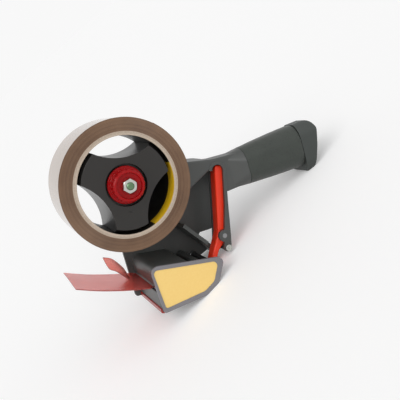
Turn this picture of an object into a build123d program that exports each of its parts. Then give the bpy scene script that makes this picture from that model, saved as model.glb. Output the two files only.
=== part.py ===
from build123d import *

import os
from math import atan2, cos, degrees, hypot, pi, radians, sin, sqrt, tan

os.makedirs("parts", exist_ok=True)

# Sizes are in mm. The part is drawn with the tape axis along Y through the origin, +X towards
# the handle, +Z up with the press lip lowest, and the brake knob on the -Y side.

# Tape roll on a 76 mm core
TAPE_HALF = 25.0
CORE_BORE_R = 38.0
CORE_WALL = 3.1
TAPE_WOUND = 10.5
ROLL_ROOM = 3.4
CORE_R = CORE_BORE_R + CORE_WALL
ROLL_R = CORE_R + TAPE_WOUND
ROLL_SWEEP_R = ROLL_R + ROLL_ROOM

# Side walls and plates, as stations along Y
SIDE_GAP = 3.5
WALL = 3.0
PANEL_THICK = 2.5
STICKER_SINK = 0.8
STICKER_THICK = 0.3
FAR_IN = TAPE_HALF + SIDE_GAP
FAR_OUT = FAR_IN + WALL
NEAR_IN = -FAR_IN
NEAR_OUT = NEAR_IN - PANEL_THICK
NEAR_FLOOR = NEAR_OUT + STICKER_SINK
NECK_HALF = 8.5
NECK_WALL = 2.2
NECK_CAVITY_HALF = NECK_HALF - NECK_WALL
RIB_PROUD = 0.7
TRIGGER_PLAY = 0.8
TRIGGER_HALF = NECK_CAVITY_HALF - TRIGGER_PLAY

# Fits
PUSH_FIT = 0.3
RUN_FIT = 0.06

# Brake knob, its nut and the axle bolt
BOLT_R = 2.95
BOLT_CLEAR_R = BOLT_R + 0.15
NUT_BORE_R = BOLT_R + 0.05
HEX_R = 5.77
HEX_TALL = 4.0
KNOB_R = 12.5
FLANGE_REACH = 2.3
KNOB_FLANGE_R = KNOB_R + FLANGE_REACH
KNOB_TALL = 13.6
NUT_TALL = 5.0
NUT_PROUD = 1.9
BOLT_PROUD = 1.6
FLUTES = 18

# Hub, a lobed cup that fills the core
HUB_R = CORE_BORE_R - PUSH_FIT
HUB_TAPER = 2.9
HUB_TIP_R = HUB_R - HUB_TAPER
HUB_INSET = 1.0
HUB_FACE = -TAPE_HALF + HUB_INSET
HUB_BACK = TAPE_HALF + PUSH_FIT
EAR_THICK = 2.0
EAR_REACH = 2.4
HUB_END = HUB_BACK + EAR_THICK
HUB_EAR_R = CORE_R + EAR_REACH
HUB_WALL = 2.2
RECESS_R = KNOB_FLANGE_R + 1.7
RECESS_DEEP = 6.0
RECESS_FLOOR = HUB_FACE + RECESS_DEEP
SCALLOP_R = 43.0
SCALLOP_SPARE = 2.6
SCALLOP_AT = RECESS_R + HUB_WALL + SCALLOP_SPARE + SCALLOP_R
SCALLOP_DEG = (98.0, 218.0, 338.0)

# Brake stack inside the hub, as stations along Y
SLEEVE_R = 5.0
BEARING_WALL = 4.0
HUB_BORE_R = SLEEVE_R + RUN_FIT
HUB_TUBE_R = SLEEVE_R + BEARING_WALL
WASHER_R = 8.8
WASHER_THICK = 1.2
LINING_THICK = 1.4
LINING_GAP = 0.2
WELL_R = WASHER_R + 0.8
WELL_DEEP = 12.0
WELL_FLOOR = RECESS_FLOOR + WELL_DEEP
SPRING_R = 6.4
SPRING_WIRE_R = 0.6
SPRING_LENGTH = 8.9
SLEEVE_END = WELL_FLOOR - LINING_GAP - LINING_THICK
SPRING_SEAT = SLEEVE_END - WASHER_THICK
KNOB_BACK = SPRING_SEAT - SPRING_LENGTH - WASHER_THICK
KNOB_FLANGE_BACK = KNOB_BACK - 1.1
KNOB_FLANGE_FRONT = KNOB_FLANGE_BACK - 2.6
KNOB_FACE = KNOB_BACK - KNOB_TALL
NUT_FACE = KNOB_FACE - NUT_PROUD
NUT_BACK = NUT_FACE + NUT_TALL
BOLT_END = NUT_FACE - BOLT_PROUD
BOSS_TALL = 4.5
BOSS_IN = HUB_END + PUSH_FIT
BOSS_OUT = FAR_OUT + BOSS_TALL

# Trigger and blade carrier pivots, and the ties between the walls, as (x, z)
TRIGGER_PIVOT = (89.0, -47.0)
CARRIER_PIVOT = (62.0, -84.0)
CARRIER_BAR = (74.6, -68.9)
PANEL_TIES = ((62.0, -67.4), (24.8, -72.4))
RIB_TIE = (92.2, -57.4)
PIN_R = 2.0
PIN_BORE_R = PIN_R + RUN_FIT

# Press roller, placed by its front and lowest lines
ROLLER_R = 10.0
ROLLER_FRONT = 32.0
ROLLER_LOW = -99.0
ROLLER_AT = (ROLLER_FRONT + ROLLER_R, ROLLER_LOW + ROLLER_R)
ROLLER_SKIN = 3.0
ROLLER_CORE_R = ROLLER_R - ROLLER_SKIN
ROLLER_AXLE_R = 2.5
ROLLER_BORE_R = ROLLER_AXLE_R + RUN_FIT
ROLLER_END_PLAY = 0.8
ROLLER_CORE_HALF = TAPE_HALF
ARM_THICK = 2.0
ARM_IN = ROLLER_CORE_HALF + ROLLER_END_PLAY
ARM_OUT = ARM_IN + ARM_THICK

# Handle: local u runs along the handle, v across it
HANDLE_AT = (92.0, 5.6)
HANDLE_DEG = 18.4
GRIP_FROM = 17.6
GRIP_TO = 72.0
CORE_TALL = 24.0
CORE_WIDE = 17.0
CORE_SHELL = 2.5


def handle_point(u, v):
    """Drawn (x, z) of a point u along and v across the handle."""
    lean = radians(HANDLE_DEG)
    x = HANDLE_AT[0] + u * cos(lean) - v * sin(lean)
    z = HANDLE_AT[1] + u * sin(lean) + v * cos(lean)
    return x, z


# Stance: the dispenser is set down on its heel, under the head, and on its butt
HEEL_AT = (69.5, -85.5)
BUTT_AT = handle_point(GRIP_TO + 3.5, -23.4)
STANCE = atan2(BUTT_AT[1] - HEEL_AT[1], BUTT_AT[0] - HEEL_AT[0])
AXIS_HEIGHT = HEEL_AT[0] * sin(STANCE) - HEEL_AT[1] * cos(STANCE)


def on_table(x):
    """Height z of the table plane under the drawn part at x."""
    return HEEL_AT[1] + (x - HEEL_AT[0]) * tan(STANCE)


def handle_plane(u):
    """Plane across the handle at u, with local x along Y and local y up."""
    lean = radians(HANDLE_DEG)
    x, z = handle_point(u, 0)
    return Plane(origin=(x, 0, z), x_dir=(0, 1, 0), z_dir=(cos(lean), 0, sin(lean)))


def outline(*corners):
    """Closed face in the XZ plane. A corner is (x, z), or (x, z, radius) to round it."""
    ends = []
    edges = []
    count = len(corners)
    for i in range(count):
        x, z = corners[i][:2]
        radius = corners[i][2] if len(corners[i]) > 2 else 0
        if radius == 0:
            ends.append(((x, z), (x, z)))
            continue
        px, pz = corners[i - 1][:2]
        qx, qz = corners[(i + 1) % count][:2]
        to_p = Vector(px - x, 0, pz - z).normalized()
        to_q = Vector(qx - x, 0, qz - z).normalized()
        half = radians(to_p.get_angle(to_q)) / 2
        reach = radius / tan(half)
        middle = (to_p + to_q).normalized() * (radius / sin(half) - radius)
        start = (x + to_p.X * reach, z + to_p.Z * reach)
        stop = (x + to_q.X * reach, z + to_q.Z * reach)
        edges.append(
            ThreePointArc((start[0], 0, start[1]), (x + middle.X, 0, z + middle.Z), (stop[0], 0, stop[1]))
        )
        ends.append((start, stop))
    for i in range(count):
        a = ends[i - 1][1]
        b = ends[i][0]
        if hypot(a[0] - b[0], a[1] - b[1]) > 1e-6:
            edges.append(Line((a[0], 0, a[1]), (b[0], 0, b[1])))
    return Face(Wire.combine(edges)[0])


def slab(face, y0, y1):
    """Solid that a face of the XZ plane sweeps from y0 to y1."""
    return extrude(Pos(0, y0, 0) * face, amount=y1 - y0, dir=(0, 1, 0))


def plate(y0, y1, *corners):
    return slab(outline(*corners), y0, y1)


def rod(radius, y0, y1, at=(0, 0)):
    return Pos(at[0], (y0 + y1) / 2, at[1]) * Rot(90, 0, 0) * Cylinder(radius, abs(y1 - y0))


def tube(outer, inner, y0, y1, at=(0, 0)):
    return rod(outer, y0, y1, at) - rod(inner, y0 - 1, y1 + 1, at)


def turned(*profile):
    """Solid of revolution about the Y axis from (radius, y) corners."""
    points = [(r, y, 0) for r, y in profile]
    return revolve(Face(Wire.make_polygon(points, close=True)), Axis.Y, 360)


def hexagon(y0, y1, turn=0):
    face = Plane.XZ * RegularPolygon(HEX_R, 6, rotation=turn)
    return extrude(Pos(0, y0, 0) * face, amount=y1 - y0, dir=(0, 1, 0))


def link(points, width, y0, y1):
    """Flat bar of the given width through points of the XZ plane, with round ends."""
    bar = rod(width / 2, y0, y1, points[0])
    for a, b in zip(points, points[1:]):
        along = Vector(b[0] - a[0], 0, b[1] - a[1]).normalized() * (width / 2)
        side = (-along.Z, along.X)
        bar += plate(
            y0,
            y1,
            (a[0] + side[0], a[1] + side[1]),
            (b[0] + side[0], b[1] + side[1]),
            (b[0] - side[0], b[1] - side[1]),
            (a[0] - side[0], a[1] - side[1]),
        )
        bar += rod(width / 2, y0, y1, b)
    return bar


def pan_screw(at, y_head, y_tip, head_r=2.8, shank_r=1.45, head=1.9):
    """Pan-head screw along Y whose head stands at y_head, outwards from y_tip."""
    out = 1 if y_head > y_tip else -1
    screw = rod(head_r, y_head, y_head + out * head, at) + rod(shank_r, y_tip, y_head, at)
    slot_y = y_head + out * head
    for turn in (0, 90):
        screw -= Pos(at[0], slot_y, at[1]) * Rot(0, turn + 20, 0) * Box(3.4, 1.8, 0.8)
    return screw


def coil(radius, wire, y0, y1, turns, at=(0, 0), turn=0, legs=()):
    """Coil spring along Y between the outer faces y0 and y1, with straight legs for a torsion spring."""
    rise = y1 - y0 - 2 * wire
    helix = Helix(rise / turns, rise, radius, direction=(0, 1, 0))
    path = Pos(at[0], y0 + wire, at[1]) * Rot(0, turn, 0) * helix
    spring = sweep(Plane(origin=path @ 0, z_dir=path % 0) * Circle(wire), path=path)
    if legs:
        spring += Plane(origin=path @ 0, z_dir=-(path % 0)) * Pos(0, 0, legs[0] / 2) * Cylinder(wire, legs[0])
        spring += Plane(origin=path @ 1, z_dir=path % 1) * Pos(0, 0, legs[1] / 2) * Cylinder(wire, legs[1])
    return spring


# Tape roll and core

tape_core = tube(CORE_R, CORE_BORE_R, -TAPE_HALF, TAPE_HALF)
tape_winding = tube(ROLL_R, CORE_R, -TAPE_HALF, TAPE_HALF)


# Hub: a lobed shell, closed at the front, with a knob recess, a bearing tube and webs

hub = turned(
    (0, HUB_FACE),
    (HUB_TIP_R, HUB_FACE),
    (HUB_R, HUB_FACE + 8),
    (HUB_R, HUB_BACK),
    (HUB_EAR_R, HUB_BACK),
    (HUB_EAR_R, HUB_END),
    (0, HUB_END),
)
hollow = rod(HUB_R - HUB_WALL, HUB_FACE + 2.6, HUB_END + 1)
for degrees_at in SCALLOP_DEG:
    at = (SCALLOP_AT * cos(radians(degrees_at)), SCALLOP_AT * sin(radians(degrees_at)))
    hub -= rod(SCALLOP_R, HUB_FACE - 1, HUB_END + 1, at)
    hollow -= rod(SCALLOP_R + HUB_WALL, HUB_FACE, HUB_END + 2, at)
hollow -= rod(RECESS_R + HUB_WALL, HUB_FACE, RECESS_FLOOR + HUB_WALL)
hollow -= rod(WELL_R + HUB_WALL, HUB_FACE, WELL_FLOOR + HUB_WALL)
hollow -= rod(HUB_TUBE_R, HUB_FACE, HUB_END + 2)
for degrees_at in SCALLOP_DEG:
    web = Rot(0, -degrees_at - 180, 0) * Pos(20, 0, 0) * Box(40, 100, HUB_WALL)
    hollow -= web
hub -= hollow
hub -= rod(RECESS_R, HUB_FACE - 1, RECESS_FLOOR)
hub -= rod(WELL_R, HUB_FACE, WELL_FLOOR)
hub -= rod(HUB_BORE_R, HUB_FACE, HUB_END + 1)
GATE_AT = (3.1, -20.6)
hub -= Pos(GATE_AT[0], HUB_FACE, GATE_AT[1]) * Box(3.2, 1.2, 1.0)


# Axle and tape brake

axle_bolt = rod(BOLT_R, BOLT_END, BOSS_OUT - HEX_TALL) + hexagon(BOSS_OUT - HEX_TALL, BOSS_OUT)
axle_bolt = chamfer(axle_bolt.edges().sort_by(Axis.Y)[0], 0.8)
axle_sleeve = tube(SLEEVE_R, BOLT_CLEAR_R, SLEEVE_END, BOSS_IN)
friction_washer = tube(WASHER_R, SLEEVE_R + PUSH_FIT, SLEEVE_END, SLEEVE_END + LINING_THICK)
pressure_washer = tube(WASHER_R, BOLT_CLEAR_R, SPRING_SEAT, SLEEVE_END)
thrust_washer = tube(WASHER_R, BOLT_CLEAR_R, KNOB_BACK, KNOB_BACK + WASHER_THICK)
brake_spring = coil(SPRING_R, SPRING_WIRE_R, KNOB_BACK + WASHER_THICK, SPRING_SEAT, 3.5)

knob_bore_r = BOLT_R + 0.25
nut_pocket_r = HEX_R + 1.13
brake_knob = turned(
    (knob_bore_r, KNOB_BACK),
    (WASHER_R - 0.4, KNOB_BACK),
    (WASHER_R - 0.4, KNOB_FLANGE_BACK),
    (KNOB_FLANGE_R - 0.8, KNOB_FLANGE_BACK),
    (KNOB_FLANGE_R, KNOB_FLANGE_BACK - 0.8),
    (KNOB_FLANGE_R, KNOB_FLANGE_FRONT + 0.6),
    (KNOB_FLANGE_R - 0.6, KNOB_FLANGE_FRONT),
    (KNOB_R, KNOB_FLANGE_FRONT),
    (KNOB_R, KNOB_FACE + 1.2),
    (KNOB_R - 1.2, KNOB_FACE),
    (KNOB_R - 2.3, KNOB_FACE),
    (KNOB_R - 2.9, KNOB_FACE + 2.2),
    (nut_pocket_r, KNOB_FACE + 2.2),
    (nut_pocket_r, NUT_BACK),
    (knob_bore_r, NUT_BACK),
)
for i in range(FLUTES):
    turn = 2 * pi * i / FLUTES
    at = ((KNOB_R + 0.9) * cos(turn), (KNOB_R + 0.9) * sin(turn))
    brake_knob -= rod(1.4, KNOB_FACE - 1, KNOB_FLANGE_FRONT - 0.6, at)
knob_nut = hexagon(NUT_FACE, NUT_BACK, turn=30) & turned(
    (0, NUT_BACK), (HEX_R, NUT_BACK), (HEX_R, NUT_FACE + 0.7), (5.0, NUT_FACE), (0, NUT_FACE)
)
knob_nut -= rod(NUT_BORE_R, NUT_FACE - 1, NUT_BACK + 1)


# Neck and handle core, drawn whole and split down the middle into two halves

neck = plate(
    -NECK_HALF,
    NECK_HALF,
    (50, 15.6),
    (77.7, 17.8, 40),
    (98.9, 22.9),
    (107.9, -4.1),
    (92.5, -9.4, 3),
    (84.5, -9.4, 2),
    (80.5, 7.6, 3),
    (74.5, 8.3, 4),
    (50, -13.6),
)
neck -= rod(ROLL_SWEEP_R, -40, FAR_IN)
side_faces = neck.faces().filter_by(Axis.Y)
neck = fillet(side_faces.sort_by(Axis.Y)[0].edges() + side_faces.sort_by(Axis.Y)[-1].edges(), 1.6)
collar_ends = [
    handle_plane(3) * RectangleRounded(2 * NECK_HALF, 28.6, 4),
    handle_plane(GRIP_FROM) * RectangleRounded(27.5, 32.6, 12.5),
]
neck += loft(collar_ends)
core_bar = extrude(handle_plane(10) * RectangleRounded(CORE_WIDE, CORE_TALL, 5), GRIP_TO - 10)
plug_section = RectangleRounded(CORE_WIDE - 2 * CORE_SHELL, CORE_TALL - 2 * CORE_SHELL, 3)
core_hollow = extrude(handle_plane(14) * plug_section, GRIP_TO)
trigger_cavity = plate(
    -NECK_CAVITY_HALF,
    NECK_CAVITY_HALF,
    (61, 13.2),
    (77.6, 15.2),
    (97, 20.2, 2),
    (100.5, 8, 3),
    (98.5, -14),
    (78.5, -14),
    (78.5, 9.6),
    (74, 11),
    (61, -1.2),
)
neck = neck + core_bar - core_hollow - trigger_cavity

HALF_SPACE = 400
near_space = Pos(0, -HALF_SPACE / 2, 0) * Box(2 * HALF_SPACE, HALF_SPACE, 2 * HALF_SPACE)
far_space = Pos(0, HALF_SPACE / 2, 0) * Box(2 * HALF_SPACE, HALF_SPACE, 2 * HALF_SPACE)


# Near frame half: neck side with the trigger arch, and the rib behind the trigger

ARCH_AT = (81.9, 8.2)
ARCH_R = 5.2
ARCH_RIM = 2.3
frame_near = neck & near_space
frame_near -= plate(
    -2 * NECK_HALF,
    -NECK_CAVITY_HALF + 0.1,
    (ARCH_AT[0] - ARCH_R, ARCH_AT[1] + ARCH_R, ARCH_R - 0.01),
    (ARCH_AT[0] + ARCH_R, ARCH_AT[1] + ARCH_R, ARCH_R - 0.01),
    (89.2, -14),
    (78, -14),
)
arch = tube(ARCH_R + ARCH_RIM, ARCH_R, -NECK_HALF - RIB_PROUD, -NECK_CAVITY_HALF, ARCH_AT)
arch -= plate(-20, 20, (70, ARCH_AT[1]), (95, ARCH_AT[1]), (95, -5), (70, -5))
frame_near += arch
near_rib = plate(
    -NECK_HALF - RIB_PROUD,
    -NECK_CAVITY_HALF,
    (ARCH_AT[0] + ARCH_R, ARCH_AT[1] + 0.2),
    (ARCH_AT[0] + ARCH_R + ARCH_RIM, ARCH_AT[1] + 0.2),
    (92.0, -21, 60),
    (94.6, -46, 30),
    (95.6, -60.0, 3),
    (88.8, -61.4, 3),
    (88.9, -21, 60),
)
frame_near += near_rib + rod(PIN_R + 3.2, -NECK_HALF - RIB_PROUD, -NECK_CAVITY_HALF, TRIGGER_PIVOT)
frame_near -= rod(PIN_R, -20, 0, TRIGGER_PIVOT)
frame_near -= rod(1.6, -20, 0, RIB_TIE)
collar_screw_at = handle_point(GRIP_FROM - 5, 0)
frame_near += rod(3.4, -NECK_HALF - 1, 0, collar_screw_at)
frame_near -= rod(1.5, -7, 1, collar_screw_at)


# Main frame: far plate with the hub boss, neck half, rib, head shell and cross members

HEEL_REAR = HEEL_AT[0] + 4.8
HEEL_FRONT = HEEL_AT[0] - 5.5
head_face = outline(
    (15.0, -64.0, 6),
    (79.0, -59.6, 5),
    (HEEL_REAR, on_table(HEEL_REAR), 5.5),
    (HEEL_FRONT, on_table(HEEL_FRONT), 7),
    (27.6, -101.8, 2),
)
CHEEK_TOP = (10.4, -64.0)
CHEEK_LOW = (21.4, -102.6)
far_cheek = outline(CHEEK_TOP, (40, -62.4), (40, -97.9), (36, -99.1), CHEEK_LOW + (2.5,))
far_web = outline(
    (0, 15.0),
    (50, 15.9),
    (77.0, 17.0, 3),
    (93.5, 9.0, 5),
    (94.6, -46, 4),
    (80.5, -49.5, 2),
    (80.5, -55.0, 2),
    (93.4, -61.0, 2),
    (87.2, -66.6, 4),
    (70, -78),
    (30, -78),
    CHEEK_TOP,
    (5, -42, 25),
    (-4, -14),
)
frame_main = Part()
for face in (head_face, far_cheek, far_web):
    frame_main += slab(face, FAR_IN, FAR_OUT)
boss_r = HEX_R + 4.7
frame_main += rod(15, FAR_IN, FAR_OUT) + rod(11, BOSS_IN, FAR_IN) + rod(boss_r, FAR_OUT, BOSS_OUT)
stiffeners = (
    ((6, 6), (72, 11)),
    ((8, -8), (24, -58)),
    ((86, 4), (88, -42)),
    ((30, -70), (84, -64)),
)
for a, b in stiffeners:
    frame_main += link((a, b), 3.0, FAR_OUT - 0.5, FAR_OUT + 2.2)
bridge = plate(
    NECK_HALF - 1,
    FAR_IN + 1,
    (50, 15.6),
    (76.5, 17.6, 2),
    (77.2, 6.5, 3),
    (50, -17),
)
bridge -= rod(ROLL_SWEEP_R, -40, FAR_IN)
frame_main += bridge
frame_main -= plate(NECK_CAVITY_HALF, FAR_IN - 2.5, (61, 13.2), (73.6, 14.6), (73.6, 9.2), (61, -1.6))
frame_main += neck & far_space
frame_main -= plate(-1, NECK_HALF - 0.001, (61, 13.2), (73.6, 14.6), (73.6, 10.6), (61, -1.2))
far_rib = plate(
    NECK_CAVITY_HALF,
    NECK_HALF,
    (80.6, 8),
    (90.2, 9),
    (92.0, -21, 60),
    (94.6, -46, 30),
    (95.6, -60.0, 3),
    (85.0, -62.6, 3),
    (84.4, -44, 20),
    (83.1, -22, 60),
)
frame_main += far_rib
gusset_far = plate(NECK_CAVITY_HALF, FAR_IN, (51, -37.8), (52.8, -35.4), (90.4, -63.3), (88.6, -65.6))
gusset_near = plate(-NECK_HALF, NECK_CAVITY_HALF, (51, -37.8), (52.8, -35.4), (74.6, -51.5), (72.8, -53.9))
frame_main += gusset_far + gusset_near
frame_main += rod(3.0, -NECK_CAVITY_HALF, NECK_CAVITY_HALF, RIB_TIE)

LEDGE_HALF = TAPE_HALF - 0.5
LEDGE_LOW = -80.7
LEDGE_THICK = 2.3
NOSE_LAP = 0.8
MOUTH_TALL = 3.9
ledge_top = LEDGE_LOW + LEDGE_THICK
nose_end = ledge_top - NOSE_LAP
lip_top = LEDGE_LOW - MOUTH_TALL
nose = plate(
    NEAR_IN,
    FAR_IN,
    (20.2, nose_end, 0.8),
    (15.8, -65.0, 7),
    (48.2, -61.7, 1.2),
    (48.2, -64.2, 1.0),
    (19.0, -67.2, 4.5),
    (22.7, nose_end, 0.8),
)
wiper_ledge = plate(
    -LEDGE_HALF, LEDGE_HALF, (20.0, LEDGE_LOW), (31, LEDGE_LOW), (31, ledge_top), (21.5, ledge_top)
)
lip = plate(
    NEAR_IN,
    FAR_IN,
    (21.8, lip_top, 0.6),
    (27.1, -101.2, 0.6),
    (29.0, -100.6, 0.6),
    (23.8, lip_top + 0.4, 0.6),
)
HEEL_THICK = 2.2
heel_rise = (HEEL_THICK * -sin(STANCE), HEEL_THICK * cos(STANCE))
bar_front = HEEL_AT[0] - 4.3
bar_rear = HEEL_AT[0] + 3.1
heel_bar = plate(
    NEAR_IN,
    FAR_IN,
    (bar_front, on_table(bar_front)),
    (bar_rear, on_table(bar_rear)),
    (bar_rear + heel_rise[0], on_table(bar_rear) + heel_rise[1]),
    (bar_front + heel_rise[0], on_table(bar_front) + heel_rise[1]),
)
frame_main += nose + wiper_ledge + lip + heel_bar
for at in PANEL_TIES:
    frame_main += rod(3.2, NEAR_IN, FAR_IN, at)
    frame_main -= rod(1.5, NEAR_IN - 1, NEAR_IN + 14, at)
frame_main -= rod(BOLT_CLEAR_R, 0, 60)
frame_main -= hexagon(BOSS_OUT - HEX_TALL, BOSS_OUT + 1)
frame_main -= rod(PIN_R, 0, NECK_HALF + 1, TRIGGER_PIVOT)
frame_main -= rod(PIN_R, FAR_IN - 1, FAR_OUT + 5, CARRIER_PIVOT)
frame_main -= rod(ROLLER_AXLE_R, FAR_IN - 1, FAR_OUT + 5, ROLLER_AT)
frame_main -= rod(1.5, -NECK_HALF, 4, RIB_TIE)
frame_main += rod(4.8, 0, NECK_HALF + 1, collar_screw_at)
frame_main -= rod(1.6, -1, 20, collar_screw_at)
frame_main -= rod(3.1, NECK_HALF - 1, 20, collar_screw_at)


# Near side panel of the head, its sticker and the screws

sticker_face = outline(
    (17.7, -66.9, 3),
    (73.6, -63.0, 4),
    (70.2, -79.4, 6),
    (62.4, -86.8, 9),
    (29.0, -98.0, 2),
)
side_panel = slab(head_face, NEAR_OUT, NEAR_IN) - slab(sticker_face, NEAR_OUT - 1, NEAR_FLOOR)
for at in PANEL_TIES:
    side_panel -= rod(1.6, NEAR_OUT - 1, 0, at)
    side_panel -= rod(3.0, NEAR_OUT - 1, NEAR_FLOOR + 1.2, at)
side_panel -= rod(PIN_R, NEAR_OUT - 1, 0, CARRIER_PIVOT)
side_panel -= rod(ROLLER_AXLE_R, NEAR_OUT - 1, 0, ROLLER_AT)
side_sticker = slab(sticker_face, NEAR_FLOOR - STICKER_THICK, NEAR_FLOOR)

panel_screws = Part() + [
    pan_screw(at, NEAR_FLOOR + 1.2, NEAR_IN + 13, head=1.2) for at in PANEL_TIES
]
frame_screws = Part() + [
    pan_screw(RIB_TIE, -NECK_HALF - RIB_PROUD, 3.5),
    pan_screw(collar_screw_at, NECK_HALF - 1, -6.5),
]


# Foam grip and butt

grip_ends = [
    handle_plane(GRIP_FROM) * RectangleRounded(27.8, 33.0, 12.8),
    handle_plane((GRIP_FROM + GRIP_TO) / 2 + 3.2) * Pos(0, -0.2) * RectangleRounded(29.6, 36.4, 13.6),
    handle_plane(GRIP_TO) * Pos(0, -0.1) * RectangleRounded(30.4, 38.4, 14.0),
]
foam_grip = loft(grip_ends)
foam_grip -= extrude(handle_plane(0) * RectangleRounded(CORE_WIDE, CORE_TALL, 5), 120)

butt_top = handle_point(GRIP_TO, 19.2)
butt_low = handle_point(GRIP_TO, -19.4)
butt_cap = plate(
    -15.0,
    15.0,
    butt_top,
    handle_point(GRIP_TO + 15.1, 19.9) + (6,),
    handle_point(GRIP_TO + 18.2, 11.5) + (7,),
    handle_point(GRIP_TO + 14.6, -3.1) + (40,),
    (BUTT_AT[0] + 3.8, on_table(BUTT_AT[0] + 3.8), 3),
    (BUTT_AT[0] - 3.8, on_table(BUTT_AT[0] - 3.8), 2.5),
    butt_low,
)
butt_cap &= extrude(handle_plane(GRIP_TO - 20) * Pos(0, -3.2) * RectangleRounded(30.0, 46.8, 13.6), 60)
butt_cap += extrude(handle_plane(GRIP_TO - 10) * plug_section, 12)


# Trigger

trigger = plate(
    -TRIGGER_HALF,
    TRIGGER_HALF,
    (80.7, 12.9, 2.4),
    (88.4, 12.4, 2.0),
    (91.0, -21, 40),
    (93.6, -45),
    (92.6, -50.4, 3),
    (85.6, -60, 12),
    (82.6, -72.0, 2.2),
    (78.0, -70.8, 2.2),
    (81.2, -57, 12),
    (84.4, -45, 12),
    (82.9, -22, 40),
)
pad_edges = [
    edge
    for edge in trigger.faces().filter_by(Axis.Y).edges()
    if edge.center().X < 86 and edge.center().Z > -40
]
trigger = fillet(pad_edges, 1.6)
trigger -= rod(PIN_BORE_R, -20, 20, TRIGGER_PIVOT)
trigger_pin = rod(PIN_R, -NECK_HALF - RIB_PROUD, NECK_HALF, TRIGGER_PIVOT)


# Blade carrier: a yoke around the tape path, with the blade on its front bar

BLADE_TOP = (25.7, -85.6)
BLADE_LEAN = 0.2975
blade_down = (BLADE_LEAN, -sqrt(1 - BLADE_LEAN**2))
blade_back = (-blade_down[1], blade_down[0])
BLADE_THICK = 0.8
BLADE_TALL = 13.4
BLADE_HALF = TAPE_HALF + 0.4
TOOTH_PITCH = 2.0
TOOTH_DEEP = 1.3


def blade_point(down, back):
    x = BLADE_TOP[0] + blade_down[0] * down + blade_back[0] * back
    z = BLADE_TOP[1] + blade_down[1] * down - blade_back[1] * -back
    return x, z


blade_plane = Plane(
    origin=(BLADE_TOP[0], 0, BLADE_TOP[1]),
    x_dir=(0, 1, 0),
    z_dir=(blade_back[0], 0, blade_back[1]),
)
teeth = [(-BLADE_HALF, 0), (BLADE_HALF, 0)]
tooth_count = int(2 * BLADE_HALF / TOOTH_PITCH)
tooth_pitch = 2 * BLADE_HALF / tooth_count
for i in range(tooth_count):
    root = BLADE_HALF - i * tooth_pitch
    teeth.append((root, -(BLADE_TALL - TOOTH_DEEP)))
    teeth.append((root - tooth_pitch / 2, -BLADE_TALL))
teeth.append((-BLADE_HALF, -(BLADE_TALL - TOOTH_DEEP)))
blade = extrude(blade_plane * make_face(Polyline(*teeth, close=True)), BLADE_THICK)

ARM_PATH = (CARRIER_BAR, CARRIER_PIVOT, (46.0, -75.4), (29.6, -84.6))
blade_carrier = rod(2.6, -ARM_OUT, ARM_OUT, CARRIER_BAR)
for side in (-1, 1):
    ends = sorted((side * ARM_IN, side * ARM_OUT))
    blade_carrier += link(ARM_PATH, 6.5, ends[0], ends[1])
    blade_carrier -= rod(PIN_BORE_R, ends[0] - 0.5, ends[1] + 0.5, CARRIER_PIVOT)
blade_carrier += plate(
    -ARM_OUT,
    ARM_OUT,
    blade_point(0.3, BLADE_THICK),
    blade_point(7.6, BLADE_THICK),
    blade_point(7.6, BLADE_THICK + 2.4),
    blade_point(0.3, BLADE_THICK + 2.4),
)
blade_rivets = Part()
for y in (-BLADE_HALF + 9.4, BLADE_HALF - 9.4):
    stud = blade_plane * Pos(y, -4.0, 1.6) * Cylinder(1.5, 3.2)
    blade -= stud
    blade_carrier -= stud
    blade_rivets += stud

RETURN_TALL = 4.8
RETURN_WIRE_R = 0.42
return_to = ARM_IN - 1.8
return_from = return_to - RETURN_TALL
carrier_pins = rod(PIN_R, NEAR_FLOOR, -ARM_IN + 1.2, CARRIER_PIVOT)
carrier_pins += rod(PIN_R, return_from - 0.7, FAR_OUT, CARRIER_PIVOT)
HEEL_LEG_DEG = degrees(STANCE) - 4
BAR_LEG_DEG = degrees(atan2(CARRIER_BAR[1] - CARRIER_PIVOT[1], CARRIER_BAR[0] - CARRIER_PIVOT[0])) + 2
RETURN_TURNS = 4.5 + (HEEL_LEG_DEG - BAR_LEG_DEG) / 360
return_spring = coil(
    PIN_R + 0.7,
    RETURN_WIRE_R,
    return_from,
    return_to,
    RETURN_TURNS,
    CARRIER_PIVOT,
    turn=180 - HEEL_LEG_DEG,
    legs=(9.0, 18.5),
)


# Press roller

roller_sleeve = tube(ROLLER_R, ROLLER_CORE_R, -TAPE_HALF, TAPE_HALF, ROLLER_AT)
roller_core = tube(ROLLER_CORE_R, ROLLER_BORE_R, -ROLLER_CORE_HALF, ROLLER_CORE_HALF, ROLLER_AT)
roller_axle = rod(ROLLER_AXLE_R, NEAR_FLOOR, FAR_OUT, ROLLER_AT)


# Wiper sheet with its raised tongue, the clamp bar, and the guard on the front lip

SHEET = 0.8


def sheet(y0, y1, points, thick=SHEET):
    """Curved sheet along Y over a smooth run of (x, z) points, thickened upwards."""
    low = Spline(*[(x, 0, z) for x, z in points])
    high = Spline(*[(x, 0, z + thick) for x, z in points])
    face = make_face([low, high, Line(low @ 0, high @ 0), Line(low @ 1, high @ 1)])
    return extrude(Pos(0, y0, 0) * face.face(), amount=y1 - y0, dir=(0, 1, 0))


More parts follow.
